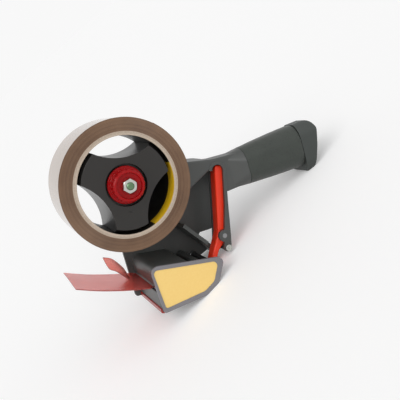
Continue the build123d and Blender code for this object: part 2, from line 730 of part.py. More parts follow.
WIPER_HALF = FAR_IN - 0.5
ROOT_HALF = TAPE_HALF - 0.2
SHEET_LOW = LEDGE_LOW - SHEET
wiper_root = plate(
    -ROOT_HALF, ROOT_HALF, (30.5, SHEET_LOW), (30.5, LEDGE_LOW), (17, LEDGE_LOW), (17, SHEET_LOW)
)
wiper_line = ((17.5, SHEET_LOW), (0, SHEET_LOW + 0.2), (-22, SHEET_LOW + 1.9), (-41, SHEET_LOW + 4.9))
wiper = wiper_root + sheet(-WIPER_HALF, WIPER_HALF, wiper_line)
tongue_rises = (
    ((9.0, 0.1), (1.4, 4.3), (-6.4, 10.9), (-12.8, 19.1)),
    ((9.0, 0.1), (5.4, 6.5), (-3.2, 14.7), (-12.8, 19.1)),
)
tongue_low, tongue_high = (Spline(*[(x, 0, SHEET_LOW + up) for x, up in line]) for line in tongue_rises)
tongue = slab(make_face([tongue_low, tongue_high]).face(), 2, 18)
tongue_plan = Polyline((12, 3), (0, 1), (-13.2, 8), (-13.2, 12), (0, 19), (12, 17), close=True)
tongue &= extrude(Pos(0, 0, -120) * make_face(tongue_plan), 120)
wiper += tongue
CLAMP_LOW = SHEET_LOW - 1.9
wiper_clamp = plate(
    -LEDGE_HALF, LEDGE_HALF, (22.6, CLAMP_LOW), (30.4, CLAMP_LOW), (30.4, SHEET_LOW), (22.6, SHEET_LOW)
)
wiper_rivets = Part()
for y in (-LEDGE_HALF + 6.5, 0, LEDGE_HALF - 6.5):
    stake = Pos(28.0, y, SHEET_LOW + 0.6) * Cylinder(1.4, 5.0)
    wiper -= stake
    wiper_clamp -= stake
    frame_main -= stake
    wiper_rivets += stake

guard_half = FAR_IN - 0.2
lip_guard = plate(
    -guard_half,
    guard_half,
    (26.2, -98.2),
    (25.1, -98.6, 0.5),
    (25.9, -102.0, 0.8),
    (28.6, -102.2, 0.6),
    (29.0, -100.62),
    (27.1, -101.2),
)
lip_guard -= lip


# Every piece by name, turned into its stance and set with the middle of its base at the origin

nodes = {
    "frame_main": frame_main,
    "frame_near": frame_near,
    "side_panel": side_panel,
    "side_sticker": side_sticker,
    "panel_screws": panel_screws,
    "frame_screws": frame_screws,
    "foam_grip": foam_grip,
    "butt_cap": butt_cap,
    "axle_bolt": axle_bolt,
    "axle_sleeve": axle_sleeve,
    "friction_washer": friction_washer,
    "pressure_washer": pressure_washer,
    "brake_spring": brake_spring,
    "thrust_washer": thrust_washer,
    "brake_knob": brake_knob,
    "knob_nut": knob_nut,
    "hub": hub,
    "tape_core": tape_core,
    "tape_winding": tape_winding,
    "trigger": trigger,
    "trigger_pin": trigger_pin,
    "blade_carrier": blade_carrier,
    "blade": blade,
    "blade_rivets": blade_rivets,
    "carrier_pins": carrier_pins,
    "return_spring": return_spring,
    "roller_sleeve": roller_sleeve,
    "roller_core": roller_core,
    "roller_axle": roller_axle,
    "wiper": wiper,
    "wiper_clamp": wiper_clamp,
    "wiper_rivets": wiper_rivets,
    "lip_guard": lip_guard,
}

turned_nodes = {name: Rot(0, degrees(STANCE), 0) * shape for name, shape in nodes.items()}
bounds = Compound(children=[Compound(shape.solids()) for shape in turned_nodes.values()]).bounding_box()
SEAT = Pos(-bounds.center().X, -bounds.center().Y, AXIS_HEIGHT)
for name, shape in turned_nodes.items():
    export_step(SEAT * shape, f"parts/{name}.step")
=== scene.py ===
"""Looks of a hand-held packaging tape dispenser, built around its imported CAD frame."""

import logging
import math
import random
from dataclasses import dataclass
from enum import Enum
from typing import Any, Iterable, Optional, Sequence, Union

import bmesh
import bpy
from mathutils import Matrix, Vector, noise


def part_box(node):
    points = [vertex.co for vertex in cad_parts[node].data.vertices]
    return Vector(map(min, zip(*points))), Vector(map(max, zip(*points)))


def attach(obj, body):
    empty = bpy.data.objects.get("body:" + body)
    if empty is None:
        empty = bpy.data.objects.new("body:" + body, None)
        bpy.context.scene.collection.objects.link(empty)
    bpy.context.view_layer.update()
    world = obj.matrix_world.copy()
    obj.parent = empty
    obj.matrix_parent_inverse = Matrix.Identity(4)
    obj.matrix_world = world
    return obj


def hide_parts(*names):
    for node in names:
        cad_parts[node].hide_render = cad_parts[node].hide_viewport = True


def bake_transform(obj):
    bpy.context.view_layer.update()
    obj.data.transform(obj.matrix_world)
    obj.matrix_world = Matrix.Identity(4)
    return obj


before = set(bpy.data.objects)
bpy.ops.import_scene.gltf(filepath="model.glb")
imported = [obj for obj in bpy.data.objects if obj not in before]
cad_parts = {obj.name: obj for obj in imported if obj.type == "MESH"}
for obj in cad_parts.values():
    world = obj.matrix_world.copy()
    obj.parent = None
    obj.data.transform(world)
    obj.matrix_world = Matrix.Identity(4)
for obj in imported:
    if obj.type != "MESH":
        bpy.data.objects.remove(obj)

log = logging.getLogger("tape_dispenser")

MM = 0.001
STANCE = math.radians(42.4065)
WELD_MM = 1e-4
AXLE_WAY = (0, 1, 0)

Point = tuple[float, float, float]
Colour = tuple[float, float, float, float]


class Body(Enum):
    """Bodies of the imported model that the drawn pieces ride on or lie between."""

    FRAME = "frame"
    ROLL = "roll"
    THRUST = "thrust"
    CARRIER = "carrier"


def tape_axis() -> Vector:
    """Middle of the tape core in the row frame, in metres."""
    low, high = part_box("tape_core")
    return (low + high) / 2


# The pieces are drawn in mm with the tape axis along Y through the origin, +X to the handle and +Z
# up with the press lip lowest. DRAWN sets such a point down in the dispenser's stance.
AXIS = tape_axis()
TURN = Matrix.Rotation(STANCE, 4, "Y")
DRAWN = Matrix.Translation(AXIS) @ TURN @ Matrix.Scale(MM, 4)


def linear(code: str) -> Colour:
    """Linear colour of an sRGB hex code.

    Args:
        code: six hex digits after a hash sign.

    Returns:
        Red, green, blue and full alpha for a colour socket.
    """
    parts = [int(code[i : i + 2], 16) / 255 for i in (1, 3, 5)]
    shades = [c / 12.92 if c <= 0.04045 else ((c + 0.055) / 1.055) ** 2.4 for c in parts]
    return (shades[0], shades[1], shades[2], 1.0)


def per_metre(size_mm: float) -> float:
    """Texture scale, in repeats per metre, of a pattern with features of size_mm."""
    return 1.0 / (size_mm * MM)


def add_node(
    tree: bpy.types.NodeTree,
    kind: str,
    settings: Optional[dict[Union[str, int], Any]] = None,
    links: Optional[dict[Union[str, int], bpy.types.NodeSocket]] = None,
) -> bpy.types.Node:
    """Adds a node, sets its values and links its inputs.

    Args:
        tree: the node tree that gets the node.
        kind: type name of the node.
        settings: values by attribute name, input name or input number.
        links: source sockets by input name or number.

    Returns:
        The new node.
    """
    node = tree.nodes.new(kind)
    for key, value in (settings or {}).items():
        if isinstance(key, str) and hasattr(node, key):
            setattr(node, key, value)
        else:
            node.inputs[key].default_value = value
    for key, source in (links or {}).items():
        tree.links.new(source, node.inputs[key])
    return node


@dataclass(frozen=True)
class Finish:
    """A surface as it was made. Each kind of surface says how it is shaded."""

    name: str

    def surface(self, tree: bpy.types.NodeTree) -> bpy.types.NodeSocket:
        """Builds the shader.

        Args:
            tree: node tree of the material.

        Returns:
            The socket that carries the shader.
        """
        raise NotImplementedError

    def material(self) -> bpy.types.Material:
        """Makes the finish a material on first use.

        Returns:
            The material, which all pieces of this finish share.
        """
        found = bpy.data.materials.get(self.name)
        if found is None:
            found = bpy.data.materials.new(self.name)
            found.use_nodes = True
            found.node_tree.nodes.clear()
            shader = self.surface(found.node_tree)
            add_node(found.node_tree, "ShaderNodeOutputMaterial", links={"Surface": shader})
        return found


@dataclass(frozen=True)
class MouldedPlastic(Finish):
    """Injection-moulded thermoplastic with a spark-eroded skin.

    The skin is a fine even grain that softens reflections, edges are rounded by the mould and are
    rubbed a little brighter, and the tone drifts slightly along the flow of the melt.
    """

    colour: str = "#47494b"
    drift: str = "#3f4143"
    rubbed: str = "#6a6c6e"
    rough: float = 0.42
    grain_mm: float = 0.55
    grain_deep_mm: float = 0.02
    edge_mm: float = 0.45
    glow: float = 0.0
    shine: float = 0.5
    flow_mm: float = 28.0
    rough_drift: float = 0.06
    glow_mm: float = 1.5

    def surface(self, tree: bpy.types.NodeTree) -> bpy.types.NodeSocket:
        """Builds the shader.

        Args:
            tree: node tree of the material.

        Returns:
            The socket that carries the shader.
        """
        place = add_node(tree, "ShaderNodeTexCoord").outputs["Object"]
        flow = add_node(
            tree,
            "ShaderNodeTexNoise",
            {"Scale": per_metre(self.flow_mm), "Detail": 3.0},
            {"Vector": place},
        )
        grain = add_node(
            tree,
            "ShaderNodeTexNoise",
            {"Scale": per_metre(self.grain_mm), "Detail": 2.0},
            {"Vector": place},
        )
        rounded = add_node(tree, "ShaderNodeBevel", {"samples": 6, "Radius": self.edge_mm * MM})
        facing = add_node(tree, "ShaderNodeNewGeometry").outputs["Normal"]
        agree = add_node(
            tree,
            "ShaderNodeVectorMath",
            {"operation": "DOT_PRODUCT"},
            {0: rounded.outputs["Normal"], 1: facing},
        )
        edge = add_node(
            tree,
            "ShaderNodeMapRange",
            {"From Min": 0.99, "From Max": 0.8, "To Min": 0.0, "To Max": 0.55},
            {"Value": agree.outputs["Value"]},
        )
        base = add_node(
            tree,
            "ShaderNodeMix",
            {"data_type": "RGBA", 6: linear(self.colour), 7: linear(self.drift)},
            {0: flow.outputs["Fac"]},
        )
        tone = add_node(
            tree,
            "ShaderNodeMix",
            {"data_type": "RGBA", 7: linear(self.rubbed)},
            {0: edge.outputs["Result"], 6: base.outputs[2]},
        )
        rough = add_node(
            tree,
            "ShaderNodeMapRange",
            {"To Min": self.rough - self.rough_drift, "To Max": self.rough + self.rough_drift},
            {"Value": flow.outputs["Fac"]},
        )
        skin = add_node(
            tree,
            "ShaderNodeBump",
            {"Strength": 0.6, "Distance": self.grain_deep_mm * MM},
            {"Height": grain.outputs["Fac"], "Normal": rounded.outputs["Normal"]},
        )
        shader = add_node(
            tree,
            "ShaderNodeBsdfPrincipled",
            {
                "IOR": 1.52,
                "Specular IOR Level": self.shine,
                "Subsurface Weight": self.glow,
                "Subsurface Radius": (1.0, 0.15, 0.1),
                "Subsurface Scale": self.glow_mm * MM,
            },
            {
                "Base Color": tone.outputs[2],
                "Roughness": rough.outputs["Result"],
                "Normal": skin.outputs["Normal"],
            },
        )
        return shader.outputs["BSDF"]


@dataclass(frozen=True)
class PlatedSteel(Finish):
    """Steel wire, bar or sheet, drawn or plated, with fine tool marks and a cloudy plate."""

    colour: str = "#c9cac6"
    cloud: str = "#b3b5ae"
    rough: float = 0.24
    rough_less: float = 0.07
    rough_more: float = 0.1
    mark_mm: float = 0.35
    stretch: Point = (1.0, 1.0, 1.0)
    mark_deep_mm: float = 0.01
    cloud_mm: float = 3.0
    edge_mm: float = 0.25

    def surface(self, tree: bpy.types.NodeTree) -> bpy.types.NodeSocket:
        """Builds the shader.

        Args:
            tree: node tree of the material.

        Returns:
            The socket that carries the shader.
        """
        place = add_node(tree, "ShaderNodeTexCoord").outputs["Object"]
        along = add_node(tree, "ShaderNodeMapping", {"Scale": self.stretch}, {"Vector": place})
        marks = add_node(
            tree,
            "ShaderNodeTexNoise",
            {"Scale": per_metre(self.mark_mm), "Detail": 2.0},
            {"Vector": along.outputs["Vector"]},
        )
        cloud = add_node(
            tree,
            "ShaderNodeTexNoise",
            {"Scale": per_metre(self.cloud_mm), "Detail": 3.0},
            {"Vector": place},
        )
        tone = add_node(
            tree,
            "ShaderNodeMix",
            {"data_type": "RGBA", 6: linear(self.colour), 7: linear(self.cloud)},
            {0: cloud.outputs["Fac"]},
        )
        rough = add_node(
            tree,
            "ShaderNodeMapRange",
            {"To Min": self.rough - self.rough_less, "To Max": self.rough + self.rough_more},
            {"Value": cloud.outputs["Fac"]},
        )
        rounded = add_node(tree, "ShaderNodeBevel", {"samples": 6, "Radius": self.edge_mm * MM})
        scored = add_node(
            tree,
            "ShaderNodeBump",
            {"Strength": 0.35, "Distance": self.mark_deep_mm * MM},
            {"Height": marks.outputs["Fac"], "Normal": rounded.outputs["Normal"]},
        )
        shader = add_node(
            tree,
            "ShaderNodeBsdfPrincipled",
            {"Metallic": 1.0},
            {
                "Base Color": tone.outputs[2],
                "Roughness": rough.outputs["Result"],
                "Normal": scored.outputs["Normal"],
            },
        )
        return shader.outputs["BSDF"]


@dataclass(frozen=True)
class FoamRubber(Finish):
    """Closed-cell foam rubber sleeve with a skived skin.

    Cut cells are hollows and show as a fine dark speckle of painted shade where the skin sinks,
    under a dull sheen. Real cells are about 0.3 mm; they are drawn at 0.8 mm so that they show in
    the render.
    """

    colour: str = "#303630"
    # painted shade: the colour that the cut cells' hollows darken to
    pit_shade: str = "#1c201d"
    cell_mm: float = 0.8
    cell_deep_mm: float = 0.12
    patch_mm: float = 9.0

    def surface(self, tree: bpy.types.NodeTree) -> bpy.types.NodeSocket:
        """Builds the shader.

        Args:
            tree: node tree of the material.

        Returns:
            The socket that carries the shader.
        """
        place = add_node(tree, "ShaderNodeTexCoord").outputs["Object"]
        cells = add_node(tree, "ShaderNodeTexVoronoi", {"Scale": per_metre(self.cell_mm)}, {"Vector": place})
        patch = add_node(
            tree,
            "ShaderNodeTexNoise",
            {"Scale": per_metre(self.patch_mm), "Detail": 4.0},
            {"Vector": place},
        )
        depth = add_node(
            tree,
            "ShaderNodeMapRange",
            {"From Min": 0.15, "From Max": 0.75},
            {"Value": cells.outputs["Distance"]},
        )
        speckle = add_node(
            tree,
            "ShaderNodeMath",
            {"operation": "MULTIPLY"},
            {0: depth.outputs["Result"], 1: patch.outputs["Fac"]},
        )
        # painted shade: the foam darkens towards the pit colour where the cells sink, by the same depth as
        # the bump
        tone = add_node(
            tree,
            "ShaderNodeMix",
            {"data_type": "RGBA", 6: linear(self.colour), 7: linear(self.pit_shade)},
            {0: speckle.outputs["Value"]},
        )
        skin = add_node(
            tree,
            "ShaderNodeBump",
            {"Strength": 0.5, "Distance": self.cell_deep_mm * MM, "invert": True},
            {"Height": depth.outputs["Result"]},
        )
        shader = add_node(
            tree,
            "ShaderNodeBsdfPrincipled",
            {"Roughness": 0.58, "IOR": 1.5, "Sheen Weight": 0.15, "Sheen Roughness": 0.5},
            {"Base Color": tone.outputs[2], "Normal": skin.outputs["Normal"]},
        )
        return shader.outputs["BSDF"]


@dataclass(frozen=True)
class WoundEdges(Finish):
    """Slit edges of wound polypropylene tape.

    Hundreds of film edges lie side by side, so the face has fine rings of lighter and darker brown
    and draws reflections out into radial streaks. Layers are 0.05 mm; rings are drawn at 0.4 mm.
    """

    light: str = "#7d5f46"
    dark: str = "#523825"
    ring_mm: float = 0.4
    ring_deep_mm: float = 0.03
    band_mm: float = 2.6
    smear_mm: float = 16.0

    def surface(self, tree: bpy.types.NodeTree) -> bpy.types.NodeSocket:
        """Builds the shader.

        Args:
            tree: node tree of the material.

        Returns:
            The socket that carries the shader.
        """
        place = add_node(tree, "ShaderNodeTexCoord").outputs["Object"]
        centred = add_node(tree, "ShaderNodeMapping", {"Location": tuple(-AXIS)}, {"Vector": place})
        spoke = add_node(
            tree,
            "ShaderNodeVectorMath",
            {"operation": "MULTIPLY", 1: (1.0, 0.0, 1.0)},
            {0: centred.outputs["Vector"]},
        )
        radius = add_node(tree, "ShaderNodeVectorMath", {"operation": "LENGTH"}, {0: spoke.outputs["Vector"]})
        rings = add_node(
            tree,
            "ShaderNodeTexNoise",
            {"noise_dimensions": "1D", "Scale": per_metre(self.ring_mm), "Detail": 2.0},
            {"W": radius.outputs["Value"]},
        )
        bands = add_node(
            tree,
            "ShaderNodeTexNoise",
            {"noise_dimensions": "1D", "Scale": per_metre(self.band_mm), "Detail": 1.0},
            {"W": radius.outputs["Value"]},
        )
        smear = add_node(
            tree,
            "ShaderNodeTexNoise",
            {"Scale": per_metre(self.smear_mm), "Detail": 2.0},
            {"Vector": place},
        )
        both = add_node(
            tree,
            "ShaderNodeMath",
            {"operation": "ADD"},
            {0: rings.outputs["Fac"], 1: bands.outputs["Fac"]},
        )
        all_three = add_node(
            tree,
            "ShaderNodeMath",
            {"operation": "ADD"},
            {0: both.outputs["Value"], 1: smear.outputs["Fac"]},
        )
        share = add_node(
            tree,
            "ShaderNodeMapRange",
            {"From Min": 0.9, "From Max": 2.1},
            {"Value": all_three.outputs["Value"]},
        )
        tone = add_node(
            tree,
            "ShaderNodeMix",
            {"data_type": "RGBA", 6: linear(self.dark), 7: linear(self.light)},
            {0: share.outputs["Result"]},
        )
        around = add_node(
            tree,
            "ShaderNodeVectorMath",
            {"operation": "CROSS_PRODUCT", 1: (0.0, 1.0, 0.0)},
            {0: spoke.outputs["Vector"]},
        )
        ridges = add_node(
            tree,
            "ShaderNodeBump",
            {"Strength": 0.25, "Distance": self.ring_deep_mm * MM},
            {"Height": rings.outputs["Fac"]},
        )
        shader = add_node(
            tree,
            "ShaderNodeBsdfPrincipled",
            {"Roughness": 0.36, "IOR": 1.5, "Anisotropic": 0.75},
            {
                "Base Color": tone.outputs[2],
                "Normal": ridges.outputs["Normal"],
                "Tangent": around.outputs["Vector"],
            },
        )
        return shader.outputs["BSDF"]


@dataclass(frozen=True)
class TapeFilm(Finish):
    """Outer turn of brown polypropylene tape: glossy film with faint stretch lines along the tape."""

    colour: str = "#8e6d4b"
    shade: str = "#7b5b3c"
    line_mm: float = 1.4
    line_deep_mm: float = 0.06
    stretch: Point = (0.05, 1.0, 0.05)

    def surface(self, tree: bpy.types.NodeTree) -> bpy.types.NodeSocket:
        """Builds the shader.

        Args:
            tree: node tree of the material.

        Returns:
            The socket that carries the shader.
        """
        place = add_node(tree, "ShaderNodeTexCoord").outputs["Object"]
        drawn_out = add_node(tree, "ShaderNodeMapping", {"Scale": self.stretch}, {"Vector": place})
        lines = add_node(
            tree,
            "ShaderNodeTexNoise",
            {"Scale": per_metre(self.line_mm), "Detail": 3.0},
            {"Vector": drawn_out.outputs["Vector"]},
        )
        tone = add_node(
            tree,
            "ShaderNodeMix",
            {"data_type": "RGBA", 6: linear(self.colour), 7: linear(self.shade)},
            {0: lines.outputs["Fac"]},
        )
        ripple = add_node(
            tree,
            "ShaderNodeBump",
            {"Strength": 0.3, "Distance": self.line_deep_mm * MM},
            {"Height": lines.outputs["Fac"]},
        )
        shader = add_node(
            tree,
            "ShaderNodeBsdfPrincipled",
            {"Roughness": 0.22, "IOR": 1.5, "Coat Weight": 0.7, "Coat Roughness": 0.06},
            {"Base Color": tone.outputs[2], "Normal": ripple.outputs["Normal"]},
        )
        return shader.outputs["BSDF"]


@dataclass(frozen=True)
class WoundBoard(Finish):
    """Spirally wound greyboard core: fibrous beige ends with ply lines, and a bore painted near black as
    shade, with a yellow printed patch.
    """

    board: str = "#bdae9e"
    fibre: str = "#9c8c7b"
    # painted shade: near black stands for the shade inside the core's bore
    bore_shade: str = "#17140f"
    stripe: str = "#f0c01e"
    bore_r_mm: float = 38.0
    stripe_to_mm: float = -11.0
    patch_mid_deg: float = -14.0
    patch_half_deg: float = 40.0
    ply_mm: float = 0.7
    fibre_mm: float = 0.8
    nap_mm: float = 0.05

    def surface(self, tree: bpy.types.NodeTree) -> bpy.types.NodeSocket:
        """Builds the shader.

        Args:
            tree: node tree of the material.

        Returns:
            The socket that carries the shader.
        """
        place = add_node(tree, "ShaderNodeTexCoord").outputs["Object"]
        centred = add_node(tree, "ShaderNodeMapping", {"Location": tuple(-AXIS)}, {"Vector": place})
        spoke = add_node(
            tree,
            "ShaderNodeVectorMath",
            {"operation": "MULTIPLY", 1: (1.0, 0.0, 1.0)},
            {0: centred.outputs["Vector"]},
        )
        radius = add_node(tree, "ShaderNodeVectorMath", {"operation": "LENGTH"}, {0: spoke.outputs["Vector"]})
        plies = add_node(
            tree,
            "ShaderNodeTexNoise",
            {"noise_dimensions": "1D", "Scale": per_metre(self.ply_mm), "Detail": 1.0},
            {"W": radius.outputs["Value"]},
        )
        fibres = add_node(
            tree,
            "ShaderNodeTexNoise",
            {"Scale": per_metre(self.fibre_mm), "Detail": 5.0},
            {"Vector": place},
        )
        mixed = add_node(
            tree,
            "ShaderNodeMath",
            {"operation": "MULTIPLY"},
            {0: plies.outputs["Fac"], 1: fibres.outputs["Fac"]},
        )
        share = add_node(
            tree,
            "ShaderNodeMapRange",
            {"From Min": 0.12, "From Max": 0.42},
            {"Value": mixed.outputs["Value"]},
        )
        bare = add_node(
            tree,
            "ShaderNodeMix",
            {"data_type": "RGBA", 6: linear(self.board), 7: linear(self.fibre)},
            {0: share.outputs["Result"]},
        )
        depth = add_node(tree, "ShaderNodeSeparateXYZ", links={"Vector": centred.outputs["Vector"]})
        past = add_node(
            tree,
            "ShaderNodeMath",
            {"operation": "GREATER_THAN", 1: self.stripe_to_mm * MM},
            {0: depth.outputs["Y"]},
        )
        middle = math.radians(self.patch_mid_deg)
        patch_way = TURN @ Vector((math.cos(middle), 0.0, math.sin(middle)))
        outward = add_node(
            tree,
            "ShaderNodeVectorMath",
            {"operation": "NORMALIZE"},
            {0: spoke.outputs["Vector"]},
        )
        swing = add_node(
            tree,
            "ShaderNodeVectorMath",
            {"operation": "DOT_PRODUCT", 1: patch_way},
            {0: outward.outputs["Vector"]},
        )
        beside = add_node(
            tree,
            "ShaderNodeMath",
            {"operation": "LESS_THAN", 1: math.cos(math.radians(self.patch_half_deg))},
            {0: swing.outputs["Value"]},
        )
        off_patch = add_node(
            tree,
            "ShaderNodeMath",
            {"operation": "MAXIMUM"},
            {0: past.outputs["Value"], 1: beside.outputs["Value"]},
        )
        # the yellow patch is print; the rest of the bore is painted near black as shade
        print_and_shade_tone = add_node(
            tree,
            "ShaderNodeMix",
            {"data_type": "RGBA", 6: linear(self.stripe), 7: linear(self.bore_shade)},
            {0: off_patch.outputs["Value"]},
        )
        facing = add_node(tree, "ShaderNodeNewGeometry").outputs["Normal"]
        inward = add_node(
            tree,
            "ShaderNodeVectorMath",
            {"operation": "DOT_PRODUCT"},
            {0: spoke.outputs["Vector"], 1: facing},
        )
        in_bore = add_node(
            tree,
            "ShaderNodeMath",
            {"operation": "LESS_THAN", 1: -0.5 * self.bore_r_mm * MM},
            {0: inward.outputs["Value"]},
        )
        tone = add_node(
            tree,
            "ShaderNodeMix",
            {"data_type": "RGBA"},
            {0: in_bore.outputs["Value"], 6: bare.outputs[2], 7: print_and_shade_tone.outputs[2]},
        )
        nap = add_node(
            tree,
            "ShaderNodeBump",
            {"Strength": 0.3, "Distance": self.nap_mm * MM},
            {"Height": fibres.outputs["Fac"]},
        )
        rough = add_node(
            tree,
            "ShaderNodeMapRange",
            {"To Min": 0.85, "To Max": 0.4},
            {"Value": in_bore.outputs["Value"]},
        )
        shader = add_node(
            tree,
            "ShaderNodeBsdfPrincipled",
            {"IOR": 1.45},
            {
                "Base Color": tone.outputs[2],
                "Roughness": rough.outputs["Result"],
                "Normal": nap.outputs["Normal"],
            },
        )
        return shader.outputs["BSDF"]


@dataclass(frozen=True)
class ClearSheet(Finish):
    """Tinted flexible polyurethane sheet: clear red, satin on both faces, deeper where it doubles."""

    colour: str = "#f28478"
    edge: str = "#de463a"
    clear: float = 0.8
    cloud_mm: float = 14.0
    grain_mm: float = 0.9
    grain_deep_mm: float = 0.02

    def surface(self, tree: bpy.types.NodeTree) -> bpy.types.NodeSocket:
        """Builds the shader.

        Args:
            tree: node tree of the material.

        Returns:
            The socket that carries the shader.
        """
        place = add_node(tree, "ShaderNodeTexCoord").outputs["Object"]
        cloud = add_node(
            tree,
            "ShaderNodeTexNoise",
            {"Scale": per_metre(self.cloud_mm), "Detail": 3.0},
            {"Vector": place},
        )
        grain = add_node(
            tree,
            "ShaderNodeTexNoise",
            {"Scale": per_metre(self.grain_mm), "Detail": 2.0},
            {"Vector": place},
        )
        tone = add_node(
            tree,
            "ShaderNodeMix",
            {"data_type": "RGBA", 6: linear(self.colour), 7: linear(self.edge)},
            {0: cloud.outputs["Fac"]},
        )
        skin = add_node(
            tree,
            "ShaderNodeBump",
            {"Strength": 0.3, "Distance": self.grain_deep_mm * MM},
            {"Height": grain.outputs["Fac"]},
        )
        shader = add_node(
            tree,
            "ShaderNodeBsdfPrincipled",
            {"Roughness": 0.22, "IOR": 1.4, "Transmission Weight": self.clear},
            {"Base Color": tone.outputs[2], "Normal": skin.outputs["Normal"]},
        )
        return shader.outputs["BSDF"]


@dataclass(frozen=True)
class PrintedVinyl(Finish):
    """Plain printed vinyl label: flat colour with a faint print mottle under a satin laminate."""

    colour: str = "#f1cf80"
    mottle: str = "#ecc672"
    dot_mm: float = 1.2
    wave_mm: float = 11.0
    wave_deep_mm: float = 0.08

    def surface(self, tree: bpy.types.NodeTree) -> bpy.types.NodeSocket:
        """Builds the shader.

        Args:
            tree: node tree of the material.

        Returns:
            The socket that carries the shader.
        """
        place = add_node(tree, "ShaderNodeTexCoord").outputs["Object"]
        print_dots = add_node(
            tree,
            "ShaderNodeTexNoise",
            {"Scale": per_metre(self.dot_mm), "Detail": 4.0},
            {"Vector": place},
        )
        wave = add_node(
            tree,
            "ShaderNodeTexNoise",
            {"Scale": per_metre(self.wave_mm), "Detail": 1.0},
            {"Vector": place},
        )
        tone = add_node(
            tree,
            "ShaderNodeMix",
            {"data_type": "RGBA", 6: linear(self.colour), 7: linear(self.mottle)},
            {0: print_dots.outputs["Fac"]},
        )
        lie = add_node(
            tree,
            "ShaderNodeBump",
            {"Strength": 0.2, "Distance": self.wave_deep_mm * MM},
            {"Height": wave.outputs["Fac"]},
        )
        shader = add_node(
            tree,
            "ShaderNodeBsdfPrincipled",
            {"Roughness": 0.45, "IOR": 1.45, "Coat Weight": 0.15, "Coat Roughness": 0.3},
            {"Base Color": tone.outputs[2], "Normal": lie.outputs["Normal"]},
        )
        return shader.outputs["BSDF"]


# The dispenser's finishes, named for the real material and how it was made.
GREY_ABS = MouldedPlastic("dark grey ABS, moulded", "#444644", "#3b3d3c", "#686a68")
HUB_ABS = MouldedPlastic("charcoal ABS, moulded", "#2d2b29", "#262422", "#4c4a48", rough=0.3, shine=0.3)
BUTT_RUBBER = MouldedPlastic(
    "dark grey thermoplastic rubber, moulded", "#333835", "#2d322f", "#4b504d", rough=0.5
)
RIM_ABS = MouldedPlastic("mid grey ABS, moulded", "#7b797d", "#716f73", "#949296", rough=0.45)
KNOB_ABS = MouldedPlastic(
    "red ABS, gloss moulded",
    "#a20c10",
    "#8e080d",
    "#cb3a3a",
    rough=0.18,
    grain_mm=0.9,
    grain_deep_mm=0.008,
    edge_mm=0.4,
    glow=0.1,
    shine=0.15,
)
TRIGGER_ABS = MouldedPlastic(
    "orange red ABS, gloss moulded",
    "#f03c1c",
    "#e63316",
    "#f47a62",
    rough=0.3,
    grain_mm=0.9,
    grain_deep_mm=0.01,
    edge_mm=0.5,
    glow=0.1,
    shine=0.35,
)
BLACK_ACETAL = MouldedPlastic("black acetal, moulded", "#242526", "#1e1f20", "#3d3e40", rough=0.38)
NATURAL_NYLON = MouldedPlastic("natural nylon, moulded", "#d8d3c3", "#cfc8b6", "#e6e2d6", rough=0.4, glow=0.2)
FIBRE = MouldedPlastic("red vulcanised fibre, pressed", "#7a3a2c", "#6d3226", "#8d5446", rough=0.7)
ROLLER_RUBBER = MouldedPlastic("black nitrile rubber, ground", "#232324", "#1c1c1d", "#333335", rough=0.62)
ZINC = PlatedSteel("zinc plated steel, turned")
PASSIVE_ZINC = PlatedSteel("green passivated steel, cut", "#6f8a6c", "#5a7558", rough=0.34)
SPRING_STEEL = PlatedSteel("spring steel, drawn", "#9a9b9c", "#86878a", rough=0.3)
BLADE_STEEL = PlatedSteel("blade steel, ground", "#bfc1c4", "#adb0b4", rough=0.22, stretch=(1.0, 0.05, 1.0))
FOAM = FoamRubber("closed cell foam rubber, skived")
TAPE_EDGES = WoundEdges("brown polypropylene tape, slit edges")
TAPE_FACE = TapeFilm("brown polypropylene tape, film face")
BOARD = WoundBoard("spirally wound greyboard")
RED_SHEET = ClearSheet("clear red polyurethane sheet, cast")
# painted glare: the red sheet's material with a paler tint, for the glare on the tongue's curl
TONGUE_SHEET_PAINTED_GLARE = ClearSheet("clear red polyurethane tongue, paled with painted glare", "#f6b0a6", "#ea7468", clear=0.88)
GUARD_SHEET = ClearSheet("red polyurethane strip, extruded", "#c4483f", "#a8231f", clear=0.35)
YELLOW_LABEL = PrintedVinyl("yellow vinyl label, printed")

Dressing = tuple[tuple[str, Finish], ...]


def dress(node: str, finish: Finish) -> None:
    """Gives a CAD node its finish.

    Args:
        node: name of the CAD node.
        finish: the surface that it shows.
    """
    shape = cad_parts[node]
    if not shape.material_slots:
        shape.data.materials.append(finish.material())
    for held in shape.material_slots:
        held.material = finish.material()
    log.info("%s is %s", node, finish.name)


def dress_all(finishes: Dressing) -> None:
    """Gives each listed CAD node its finish."""
    for node, finish in finishes:
        dress(node, finish)


def chain(bm: bmesh.types.BMesh, points: Sequence[Point]) -> list[bmesh.types.BMVert]:
    """Runs an edge chain through points by extruding one vertex after another.

    Args:
        bm: the mesh that gets the chain.
        points: places of the vertices, in mm.

    Returns:
        The vertices in order.
    """
    verts = [bm.verts.new(points[0])]
    for point in points[1:]:
        grown = bmesh.ops.extrude_vert_indiv(bm, verts=verts[-1:])["verts"][0]
        grown.co = point
        verts.append(grown)
    return verts


def smooth_line(points: Sequence[Vector], share: float) -> Vector:
    """Point on a smooth line through evenly weighted points.

    Args:
        points: two or more points that the line passes.
        share: 0 at the first point, 1 at the last.

    Returns:
        The point at that share of the line.
    """
    runs = len(points) - 1
    at = min(max(share, 0.0), 1.0) * runs
    i = min(int(at), runs - 1)
    t = at - i
    before = points[max(i - 1, 0)]
    after = points[min(i + 2, runs)]
    lead = (points[i + 1] - before) / 2
    trail = (after - points[i]) / 2
    a = 2 * t**3 - 3 * t**2 + 1
    b = t**3 - 2 * t**2 + t
    c = -2 * t**3 + 3 * t**2
    d = t**3 - t**2
    return points[i] * a + lead * b + points[i + 1] * c + trail * d


